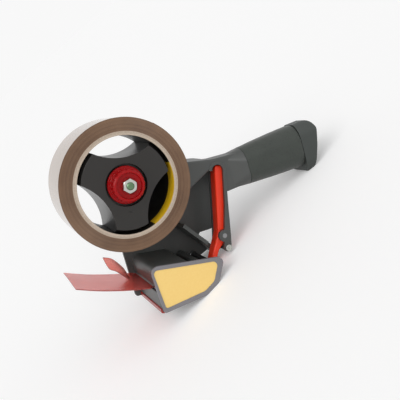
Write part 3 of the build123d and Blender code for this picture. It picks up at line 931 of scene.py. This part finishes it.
def make_piece(
    name: str,
    bm: bmesh.types.BMesh,
    finishes: Sequence[Finish],
    smooth_deg: float = 35.0,
) -> bpy.types.Object:
    """Turns a drawn bmesh into a finished object in the row frame.

    Args:
        name: name of the piece.
        bm: its mesh in drawn mm, which is freed.
        finishes: finishes by material number.
        smooth_deg: edges sharper than this stay crisp.

    Returns:
        The new object, riding on nothing yet.
    """
    bm.transform(DRAWN)
    mesh = bpy.data.meshes.new(name)
    bm.to_mesh(mesh)
    bm.free()
    for finish in finishes:
        mesh.materials.append(finish.material())
    mesh.shade_smooth()
    mesh.set_sharp_from_angle(angle=math.radians(smooth_deg))
    piece = bpy.data.objects.new(name, mesh)
    bpy.context.scene.collection.objects.link(piece)
    log.info("%s has %d faces", name, len(mesh.polygons))
    return piece


def seat_piece(piece: bpy.types.Object, body: Body, replaced: Iterable[str] = ()) -> None:
    """Makes a piece ride on a body and stand for CAD nodes.

    Args:
        piece: the finished object.
        body: the body it moves with.
        replaced: CAD nodes that it stands for.
    """
    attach(piece, body.value)
    for node in replaced:
        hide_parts(node)
    log.info("%s rides on %s", piece.name, body.value)


@dataclass
class TapeRoll:
    """Roll of brown tape on its core, loaded on the hub. Sizes in mm."""

    half: float = 25.0
    core_r: float = 41.1
    roll_r: float = 51.6
    layers: int = 46
    ragged: float = 0.11
    spin_steps: int = 168
    lap_deg: float = 46.0
    lap_from_deg: float = 20.0
    lap_steps: int = 24
    lap_inset: float = 0.05
    tab_lift: float = 0.12
    film: float = 0.06
    skin: float = 0.1
    seed: int = 7

    def winding_profile(self) -> list[Point]:
        """Half section of the winding, with slit edges a little out of line with each other.

        Returns:
            The section's corners in order, in mm.
        """
        spread = random.Random(self.seed)
        pitch = (self.roll_r - self.core_r) / self.layers
        sides: list[list[Point]] = []
        for side in (-1, 1):
            line: list[Point] = []
            for i in range(self.layers):
                y = side * (self.half - spread.random() * self.ragged)
                inner = self.core_r + i * pitch
                line.append((inner, y, 0.0))
                line.append((inner + pitch, y, 0.0))
            sides.append(line)
        return sides[0] + sides[1][::-1]

    def build_winding(self) -> bpy.types.Object:
        """Spins the winding from its profile and splits it into slit edges and film face.

        Returns:
            The finished winding.
        """
        bm = bmesh.new()
        verts = chain(bm, self.winding_profile())
        bm.edges.new((verts[-1], verts[0]))
        bmesh.ops.spin(
            bm,
            geom=bm.verts[:] + bm.edges[:],
            cent=(0, 0, 0),
            axis=AXLE_WAY,
            angle=2 * math.pi,
            steps=self.spin_steps,
            use_merge=True,
        )
        bmesh.ops.remove_doubles(bm, verts=bm.verts, dist=WELD_MM)
        bmesh.ops.recalc_face_normals(bm, faces=bm.faces)
        for face in bm.faces:
            middle = face.calc_center_median()
            outside = math.hypot(middle.x, middle.z) > self.roll_r - self.skin
            face.material_index = int(outside and abs(face.normal.y) < 0.5)
        return make_piece("tape_wound", bm, (TAPE_EDGES, TAPE_FACE), smooth_deg=30.0)

    def build_lap(self) -> bpy.types.Object:
        """Last stretch of tape, lying on the roll with its cut end lifted a little.

        Returns:
            The finished stretch.
        """
        bm = bmesh.new()
        radius = self.roll_r + self.film
        edge = self.half - self.lap_inset
        chain(bm, [(radius, y, 0.0) for y in (-edge, 0.0, edge)])
        turned_in = bmesh.ops.spin(
            bm,
            geom=bm.verts[:] + bm.edges[:],
            cent=(0, 0, 0),
            axis=AXLE_WAY,
            angle=math.radians(-self.lap_deg),
            steps=self.lap_steps,
        )["geom_last"]
        last = [v for v in turned_in if isinstance(v, bmesh.types.BMVert)]
        outward = last[0].co.normalized() * Vector((1, 0, 1))
        bmesh.ops.translate(bm, verts=last, vec=outward * self.tab_lift)
        bmesh.ops.recalc_face_normals(bm, faces=bm.faces)
        bmesh.ops.solidify(bm, geom=bm.faces[:], thickness=-self.film)
        turn = Matrix.Rotation(math.radians(-self.lap_from_deg), 4, "Y")
        bmesh.ops.transform(bm, matrix=turn, verts=bm.verts)
        return make_piece("tape_end", bm, (TAPE_FACE,), smooth_deg=30.0)

    def build(self) -> None:
        """Builds the winding and its free end, and dresses the core."""
        seat_piece(self.build_winding(), Body.ROLL, ("tape_winding",))
        seat_piece(self.build_lap(), Body.ROLL)
        dress("tape_core", BOARD)


@dataclass
class FoamGrip:
    """Foam sleeve pushed over the handle's core. Sizes in mm, start and stop along the handle."""

    at: tuple[float, float] = (92.0, 5.6)
    lean_deg: float = 18.4
    start: float = 17.6
    stop: float = 72.0
    wide: tuple[float, float, float] = (27.6, 29.5, 30.2)
    tall: tuple[float, float, float] = (32.8, 36.3, 38.2)
    bore_wide: float = 17.0
    bore_tall: float = 24.0
    corner: float = 12.4
    corner_steps: int = 12
    lip: float = 1.6
    lip_steps: int = 4
    lip_squash: float = 0.6
    mouth: float = 4.5
    rings: int = 40
    swell: float = 0.1
    swells_per_mm: float = 0.22
    still_end: float = 0.4

    def handle(self) -> Matrix:
        """Places local (across, up, along) in the drawn frame.

        Returns:
            The matrix from the sleeve's own frame to the drawn one.
        """
        lean = math.radians(self.lean_deg)
        along = Vector((math.cos(lean), 0.0, math.sin(lean)))
        across = Vector((0.0, 1.0, 0.0))
        up = along.cross(across) * -1.0
        turn = Matrix((across, up, along)).transposed().to_4x4()
        return Matrix.Translation((self.at[0], 0.0, self.at[1])) @ turn

    def size_at(self, share: float) -> tuple[float, float]:
        """Width and height of the sleeve, on a curve through its three measured sections.

        Args:
            share: 0 at the neck's end, 1 at the butt's.

        Returns:
            Width and height in mm.
        """
        sizes = []
        for first, middle, last in (self.wide, self.tall):
            a = 2 * first + 2 * last - 4 * middle
            b = 4 * middle - 3 * first - last
            sizes.append(a * share**2 + b * share + first)
        return sizes[0], sizes[1]

    def lip_rows(self, end: float, inward: int, size: tuple[float, float]) -> list[Point]:
        """Rings of a rolled lip.

        Args:
            end: place of the lip's mouth along the handle.
            inward: 1 where the sleeve lies further along the handle, and else -1.
            size: width and height of the sleeve behind the lip.

        Returns:
            (along, width, height) of each ring, from the mouth to the full sleeve.
        """
        rows: list[Point] = []
        for step in range(self.lip_steps + 1):
            turn = math.radians(90.0 / self.lip_steps * step)
            inset = 2 * self.lip * (1 - math.sin(turn))
            along = end + inward * self.lip * (1 - math.cos(turn)) * self.lip_squash
            rows.append((along, size[0] - inset, size[1] - inset))
        return rows

    def stations(self) -> list[Point]:
        """Rings of the sleeve, from the bore over the rolled lips and back to the bore.

        Returns:
            (along, width, height) of each ring.
        """
        length = self.stop - self.start
        first = self.size_at(0.0)
        last = self.size_at(1.0)
        shoulder = self.mouth * self.lip
        rows: list[Point] = [
            (self.start, self.bore_wide, self.bore_tall),
            (self.start, first[0] - shoulder, first[1] - shoulder),
        ]
        rows += self.lip_rows(self.start, 1, first)
        for i in range(1, self.rings):
            share = i / self.rings
            wide, tall = self.size_at(share)
            rows.append((self.start + self.lip + share * (length - 2 * self.lip), wide, tall))
        rows += self.lip_rows(self.stop, -1, last)[::-1]
        rows.append((self.stop, last[0] - shoulder, last[1] - shoulder))
        rows.append((self.stop, self.bore_wide, self.bore_tall))
        return rows

    def build(self) -> None:
        """Extrudes a rounded ring along the handle, closes it over the core and softens it."""
        rows = self.stations()
        bm = bmesh.new()
        bmesh.ops.create_grid(bm, x_segments=1, y_segments=1, size=0.5)
        bmesh.ops.scale(bm, vec=(self.wide[0], self.tall[0], 1.0), verts=bm.verts)
        bmesh.ops.bevel(
            bm,
            geom=bm.verts[:],
            offset=self.corner,
            segments=self.corner_steps,
            affect="VERTICES",
            profile=0.5,
            material=-1,
        )
        bmesh.ops.delete(bm, geom=bm.faces[:], context="FACES_ONLY")
        ring = bm.edges[:]
        now = (self.wide[0], self.tall[0])
        first_ring = ring
        for i, (along, wide, tall) in enumerate(rows):
            if i:
                grown = bmesh.ops.extrude_edge_only(bm, edges=ring)["geom"]
                ring = [e for e in grown if isinstance(e, bmesh.types.BMEdge)]
            verts = list({v for e in ring for v in e.verts})
            bmesh.ops.scale(bm, vec=(wide / now[0], tall / now[1], 1.0), verts=verts)
            bmesh.ops.translate(bm, vec=(0.0, 0.0, along - verts[0].co.z), verts=verts)
            now = (wide, tall)
        bmesh.ops.bridge_loops(bm, edges=first_ring + ring)
        bmesh.ops.remove_doubles(bm, verts=bm.verts, dist=WELD_MM)
        bmesh.ops.recalc_face_normals(bm, faces=bm.faces)
        bm.normal_update()
        for vert in bm.verts:
            if self.start + self.still_end < vert.co.z < self.stop - self.still_end:
                vert.co += vert.normal * (noise.noise(vert.co * self.swells_per_mm) * self.swell)
        bm.transform(self.handle())
        sleeve = make_piece("foam_sleeve", bm, (FOAM,), smooth_deg=60.0)
        seat_piece(sleeve, Body.FRAME, ("foam_grip",))


@dataclass
class WiperFlap:
    """Flexible red sheet that reaches out above the front lip, with a raised tongue for the tape's end.

    Sizes in mm. The sheet is narrower at its root, which the clamp presses against the head's ledge.
    """

    half: float = 28.0
    thick: float = 0.7
    root_half: float = 24.8
    root_past: float = 18.0
    sheet_cells: tuple[int, int] = (56, 28)
    line: tuple[tuple[float, float], ...] = (
        (30.5, -81.45),
        (17.5, -81.45),
        (0.0, -81.25),
        (-22.0, -79.55),
        (-41.0, -76.55),
    )
    tongue_near: tuple[Point, ...] = (
        (-12.0, 10.0, -62.1),
        (-10.2, 6.5, -66.5),
        (-7.7, 4.0, -70.6),
        (-3.9, 3.0, -72.1),
        (0.1, 3.0, -74.5),
        (8.6, 3.2, -81.0),
    )
    tongue_far: tuple[Point, ...] = (
        (-12.0, 10.0, -62.1),
        (-6.6, 11.5, -63.2),
        (-2.7, 13.0, -65.2),
        (2.6, 16.0, -69.7),
        (7.0, 17.0, -74.2),
        (11.2, 17.0, -81.0),
    )
    tongue_cells: tuple[int, int] = (40, 14)
    tongue_weld: float = 1e-3
    cup: float = 1.1
    cup_way: Point = (0.6, 0.0, 0.8)
    ripple: float = 0.35
    ripple_from: float = 0.3
    ripple_turn: float = 2.6
    ripple_phase: float = 0.5
    finishes: Dressing = (("wiper_clamp", BLACK_ACETAL), ("wiper_rivets", ZINC), ("lip_guard", GUARD_SHEET))

    def bend(self, bm: bmesh.types.BMesh) -> None:
        """Lays a flat unit grid along the sheet's line, with a slight ripple towards its free end.

        Args:
            bm: mesh of the grid.
        """
        points = [Vector((x, 0.0, z)) for x, z in self.line]
        for vert in bm.verts:
            share = vert.co.x + 0.5
            spot = smooth_line(points, share)
            across = vert.co.y * 2
            half = self.root_half if spot.x > self.root_past else self.half
            loose = self.ripple * max(share - self.ripple_from, 0.0)
            wave = math.sin(across * self.ripple_turn + self.ripple_phase) * loose
            vert.co = Vector((spot.x, across * half, spot.z + wave + loose))

    def build_sheet(self) -> bpy.types.Object:
        """Main sheet, from its clamped root to its free end.

        Returns:
            The finished sheet.
        """
        bm = bmesh.new()
        long, wide = self.sheet_cells
        bmesh.ops.create_grid(bm, x_segments=long, y_segments=wide, size=0.5)
        self.bend(bm)
        bmesh.ops.recalc_face_normals(bm, faces=bm.faces)
        up = sum(f.normal.z for f in bm.faces)
        bmesh.ops.solidify(bm, geom=bm.faces[:], thickness=self.thick if up < 0 else -self.thick)
        bmesh.ops.recalc_face_normals(bm, faces=bm.faces)
        return make_piece("wiper_sheet", bm, (RED_SHEET,), smooth_deg=50.0)

    def build_tongue(self) -> bpy.types.Object:
        """Thin tongue that stands on the sheet and curls up towards the roll.

        Returns:
            The finished tongue.
        """
        bm = bmesh.new()
        long, wide = self.tongue_cells
        bmesh.ops.create_grid(bm, x_segments=long, y_segments=wide, size=0.5)
        near = [Vector(point) for point in self.tongue_near]
        far = [Vector(point) for point in self.tongue_far]
        for vert in bm.verts:
            share = vert.co.x + 0.5
            across = vert.co.y + 0.5
            bulge = self.cup * math.sin(math.pi * across) * math.sin(math.pi * share)
            vert.co = smooth_line(near, share).lerp(smooth_line(far, share), across)
            vert.co += Vector(self.cup_way) * bulge
        bmesh.ops.remove_doubles(bm, verts=bm.verts, dist=self.tongue_weld)
        bmesh.ops.recalc_face_normals(bm, faces=bm.faces)
        bmesh.ops.solidify(bm, geom=bm.faces[:], thickness=self.thick)
        bmesh.ops.recalc_face_normals(bm, faces=bm.faces)
        return make_piece("wiper_tongue", bm, (TONGUE_SHEET_PAINTED_GLARE,), smooth_deg=50.0)

    def build(self) -> None:
        """Builds both sheets and dresses what holds them."""
        seat_piece(self.build_sheet(), Body.FRAME, ("wiper",))
        seat_piece(self.build_tongue(), Body.FRAME)
        dress_all(self.finishes)


@dataclass(frozen=True)
class CoilSpring:
    """Wire spring along Y that twists or shortens between two bodies. Sizes in mm, degrees about Y."""

    name: str
    node: str
    bodies: tuple[Body, Body]
    at: tuple[float, float]
    radius: float
    wire: float
    y_from: float
    y_to: float
    start_deg: float
    turns: float
    legs: tuple[float, float] = (0.0, 0.0)
    steps_a_turn: int = 28
    wire_sides: int = 10
    fixed_y: float = 0.0
    moved_y: float = 0.0

    def grow_leg(
        self,
        bm: bmesh.types.BMesh,
        ring: list[bmesh.types.BMEdge],
        along: Vector,
        length: float,
    ) -> None:
        """Extrudes an end ring straight on into a leg.

        Args:
            bm: mesh of the coil.
            ring: edges of the wire's end.
            along: direction of the leg.
            length: its length in mm, 0 for no leg.
        """
        if length <= 0:
            return
        grown = bmesh.ops.extrude_edge_only(bm, edges=ring)["geom"]
        verts = [v for v in grown if isinstance(v, bmesh.types.BMVert)]
        bmesh.ops.translate(bm, verts=verts, vec=along.normalized() * length)

    def build(self) -> None:
        """Spins a wire ring into a coil, adds its legs and hides the CAD spring that it stands for."""
        rise = self.y_to - self.y_from - 2 * self.wire
        steps = int(self.turns * self.steps_a_turn)
        bm = bmesh.new()
        bmesh.ops.create_circle(bm, segments=self.wire_sides, radius=self.wire)
        bmesh.ops.translate(bm, vec=(self.radius, self.y_from + self.wire, 0.0), verts=bm.verts)
        turn = Matrix.Rotation(math.radians(-self.start_deg), 4, "Y")
        bmesh.ops.transform(bm, matrix=turn, verts=bm.verts)
        first = bm.edges[:]
        made = bmesh.ops.spin(
            bm,
            geom=bm.verts[:] + first,
            cent=(0, 0, 0),
            axis=AXLE_WAY,
            dvec=(0, rise / steps, 0),
            angle=2 * math.pi * self.turns,
            steps=steps,
        )["geom_last"]
        last = [e for e in made if isinstance(e, bmesh.types.BMEdge)]
        slope = rise / self.turns / (2 * math.pi * self.radius)
        begin = math.radians(self.start_deg)
        finish = begin - 2 * math.pi * self.turns
        self.grow_leg(bm, first, Vector((-math.sin(begin), -slope, math.cos(begin))), self.legs[0])
        self.grow_leg(bm, last, Vector((math.sin(finish), slope, -math.cos(finish))), self.legs[1])
        ends = [e for e in bm.edges if e.is_boundary]
        bmesh.ops.holes_fill(bm, edges=ends)
        bmesh.ops.recalc_face_normals(bm, faces=bm.faces)
        bmesh.ops.translate(bm, vec=(self.at[0], 0.0, self.at[1]), verts=bm.verts)
        spring = make_piece(self.name, bm, (SPRING_STEEL,), smooth_deg=60.0)
        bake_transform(spring)
        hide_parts(self.node)
        log.info("%s bends between %s and %s", self.name, self.bodies[0].value, self.bodies[1].value)


@dataclass
class HubAndBrake:
    """Hub, axle and tape brake. The brake spring lies between the pressure and thrust washers."""

    spring: CoilSpring = CoilSpring(
        "brake_spring_wire",
        "brake_spring",
        (Body.FRAME, Body.THRUST),
        at=(0.0, 0.0),
        radius=6.4,
        wire=0.6,
        y_from=-17.7,
        y_to=-8.8,
        start_deg=90.0,
        turns=3.5,
        fixed_y=-8.8,
        moved_y=-17.7,
    )
    finishes: Dressing = (
        ("hub", HUB_ABS),
        ("brake_knob", KNOB_ABS),
        ("knob_nut", ZINC),
        ("axle_bolt", PASSIVE_ZINC),
        ("axle_sleeve", NATURAL_NYLON),
        ("friction_washer", FIBRE),
        ("pressure_washer", ZINC),
        ("thrust_washer", ZINC),
    )

    def build(self) -> None:
        """Builds the brake spring and dresses the hub and the brake."""
        self.spring.build()
        dress_all(self.finishes)


@dataclass
class CuttingHead:
    """Head with the press roller, the trigger-worked blade and the near side panel."""

    spring: CoilSpring = CoilSpring(
        "return_spring_wire",
        "return_spring",
        (Body.FRAME, Body.CARRIER),
        at=(62.0, -84.0),
        radius=2.7,
        wire=0.42,
        y_from=19.2,
        y_to=24.0,
        start_deg=-51.6,
        turns=4.4617,
        legs=(9.0, 18.5),
        fixed_y=19.9,
        moved_y=23.0,
    )
    finishes: Dressing = (
        ("side_panel", RIM_ABS),
        ("side_sticker", YELLOW_LABEL),
        ("panel_screws", ZINC),
        ("blade_carrier", BLACK_ACETAL),
        ("blade", BLADE_STEEL),
        ("blade_rivets", ZINC),
        ("carrier_pins", SPRING_STEEL),
        ("roller_sleeve", ROLLER_RUBBER),
        ("roller_core", NATURAL_NYLON),
        ("roller_axle", SPRING_STEEL),
    )

    def build(self) -> None:
        """Builds the return spring and dresses the head's pieces."""
        self.spring.build()
        dress_all(self.finishes)


@dataclass
class PistolFrame:
    """Two-part frame with the neck, the trigger and the handle's end."""

    finishes: Dressing = (
        ("frame_main", GREY_ABS),
        ("frame_near", GREY_ABS),
        ("butt_cap", BUTT_RUBBER),
        ("trigger", TRIGGER_ABS),
        ("trigger_pin", SPRING_STEEL),
        ("frame_screws", ZINC),
    )

    def build(self) -> None:
        """Dresses the frame halves, the trigger and the butt."""
        dress_all(self.finishes)


@dataclass(frozen=True)
class Lamp:
    """Far soft lamp: the direction to it, the angle that it fills and its power in W per square metre."""

    name: str
    toward: Point
    spread_deg: float
    power: float


@dataclass
class Studio:
    """Pale floor, soft lamps and the camera at the photograph's viewing angle."""

    eye_mm: Point = (-119.2, -466.8, 38.8)
    pan_deg: float = 22.05
    tilt_deg: float = 6.29
    lens_mm: float = 54.0
    sensor_mm: float = 36.0
    near_m: float = 0.01
    floor_r: float = 30.0
    floor_sides: int = 64
    floor: str = "#f6f6f6"
    floor_lift: float = 0.12
    sky: float = 0.5
    backdrop: float = 0.94
    lamps: tuple[Lamp, ...] = (
        Lamp("key_softbox", (0.44, -0.64, 0.63), 60.0, 0.4),
        Lamp("left_softbox", (-0.50, -0.45, 0.74), 45.0, 1.1),
        Lamp("front_softbox", (-0.06, -0.93, 0.34), 20.0, 0.5),
    )

    def build_camera(self) -> None:
        """Sets up the camera, rolled so that the dispenser lies in the frame as in the photograph."""
        pan = math.radians(self.pan_deg)
        tilt = math.radians(self.tilt_deg)
        ahead = Vector((math.sin(pan) * math.cos(tilt), math.cos(pan) * math.cos(tilt), -math.sin(tilt)))
        right = Vector((math.cos(pan), -math.sin(pan), 0.0))
        up = right.cross(ahead)
        turn = Matrix((right, up, -ahead)).transposed().to_4x4()
        lens = bpy.data.cameras.new("photo_camera")
        lens.lens = self.lens_mm
        lens.sensor_width = self.sensor_mm
        lens.sensor_fit = "HORIZONTAL"
        lens.clip_start = self.near_m
        camera = bpy.data.objects.new("photo_camera", lens)
        bpy.context.scene.collection.objects.link(camera)
        camera.matrix_world = Matrix.Translation(DRAWN @ Vector(self.eye_mm)) @ TURN @ turn
        bpy.context.scene.camera = camera

    def hang_lamp(self, lamp: Lamp) -> None:
        """Hangs a far soft lamp, which lights the whole floor evenly.

        Args:
            lamp: its name, direction, spread and power.
        """
        light = bpy.data.lights.new(lamp.name, "SUN")
        light.angle = math.radians(lamp.spread_deg)
        light.energy = lamp.power
        stand = bpy.data.objects.new(lamp.name, light)
        bpy.context.scene.collection.objects.link(stand)
        stand.location = lamp.toward
        stand.rotation_euler = (-Vector(lamp.toward)).to_track_quat("-Z", "Y").to_euler()

    def seen_directly(self, tree: bpy.types.NodeTree) -> bpy.types.NodeSocket:
        """Tells the rays of the camera, a gloss or a clear sheet from those that only carry light.

        Args:
            tree: node tree that gets the nodes.

        Returns:
            A socket that is 1 for the first kind of ray and 0 for the second.
        """
        path = add_node(tree, "ShaderNodeLightPath")
        seen = add_node(
            tree,
            "ShaderNodeMath",
            {"operation": "MAXIMUM"},
            {0: path.outputs["Is Camera Ray"], 1: path.outputs["Is Transmission Ray"]},
        )
        shown = add_node(
            tree,
            "ShaderNodeMath",
            {"operation": "MAXIMUM"},
            {0: seen.outputs["Value"], 1: path.outputs["Is Glossy Ray"]},
        )
        return shown.outputs["Value"]

    def build_floor(self) -> None:
        """Lays a plain pale floor, which keeps the dispenser's shadow."""
        bm = bmesh.new()
        bmesh.ops.create_circle(bm, cap_ends=True, segments=self.floor_sides, radius=self.floor_r)
        mesh = bpy.data.meshes.new("studio_floor")
        bm.to_mesh(mesh)
        bm.free()
        paint = bpy.data.materials.new("white floor paint, matt")
        paint.use_nodes = True
        tree = paint.node_tree
        tree.nodes.clear()
        paint_film = add_node(tree, "ShaderNodeBsdfDiffuse", {"Color": linear(self.floor)})
        lift = add_node(
            tree,
            "ShaderNodeMath",
            {"operation": "MULTIPLY", 1: self.floor_lift},
            {0: self.seen_directly(tree)},
        )
        glow = add_node(tree, "ShaderNodeEmission", links={"Strength": lift.outputs["Value"]})
        both = add_node(
            tree,
            "ShaderNodeAddShader",
            links={0: paint_film.outputs["BSDF"], 1: glow.outputs["Emission"]},
        )
        add_node(tree, "ShaderNodeOutputMaterial", links={"Surface": both.outputs["Shader"]})
        mesh.materials.append(paint)
        floor = bpy.data.objects.new("studio_floor", mesh)
        bpy.context.scene.collection.objects.link(floor)

    def build_sky(self) -> None:
        """Soft white surround, plain white where the camera, a gloss or a clear sheet sees it."""
        world = bpy.data.worlds.new("studio_surround")
        bpy.context.scene.world = world
        world.use_nodes = True
        tree = world.node_tree
        tree.nodes.clear()
        strength = add_node(
            tree,
            "ShaderNodeMapRange",
            {"To Min": self.sky, "To Max": self.backdrop},
            {"Value": self.seen_directly(tree)},
        )
        back = add_node(
            tree,
            "ShaderNodeBackground",
            {"Color": (1.0, 1.0, 1.0, 1.0)},
            {"Strength": strength.outputs["Result"]},
        )
        add_node(tree, "ShaderNodeOutputWorld", links={"Surface": back.outputs["Background"]})

    def build(self) -> None:
        """Builds the floor, the surround, the lamps and the camera."""
        bpy.context.scene.view_settings.view_transform = "Standard"
        self.build_floor()
        self.build_sky()
        for lamp in self.lamps:
            self.hang_lamp(lamp)
        self.build_camera()


def main() -> None:
    """Builds the dispenser's sub-assemblies in order, then the studio."""
    logging.basicConfig(level=logging.INFO, format="%(message)s")
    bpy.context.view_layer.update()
    for assembly in (PistolFrame(), HubAndBrake(), TapeRoll(), CuttingHead(), WiperFlap(), FoamGrip()):
        log.info("building %s", type(assembly).__name__)
        assembly.build()
    Studio().build()


if __name__ == "__main__":
    main()
